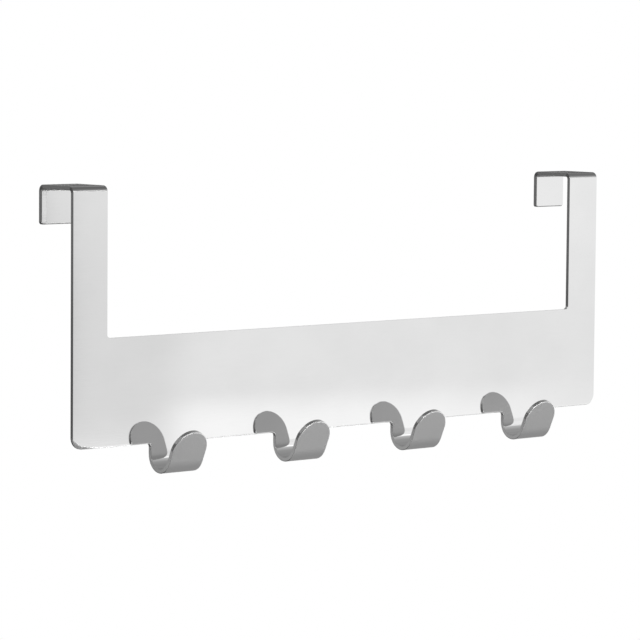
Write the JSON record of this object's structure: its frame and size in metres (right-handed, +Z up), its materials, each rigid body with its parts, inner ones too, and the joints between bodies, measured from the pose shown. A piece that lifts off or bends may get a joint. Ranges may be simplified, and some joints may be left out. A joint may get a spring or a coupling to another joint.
{
  "type": "over door hook rail",
  "caption": "Folded polished steel sheet with a wide band, two arms that hook over a door's top edge, and curled tongues along its lower edge for hanging things.",
  "frame": {"origin": "middle of the band's back face, where the rail lies against the door", "axes": "+X along the rail to the right as seen from the front, +Y back into the door, +Z up"},
  "size_m": [0.3, 0.0416, 0.1195],
  "materials": {
    "polished_steel": "polished to a mirror, cut edges softened"
  },
  "bodies": {
    "root": {"hook_rail": "polished_steel"}
  },
  "joints": []
}
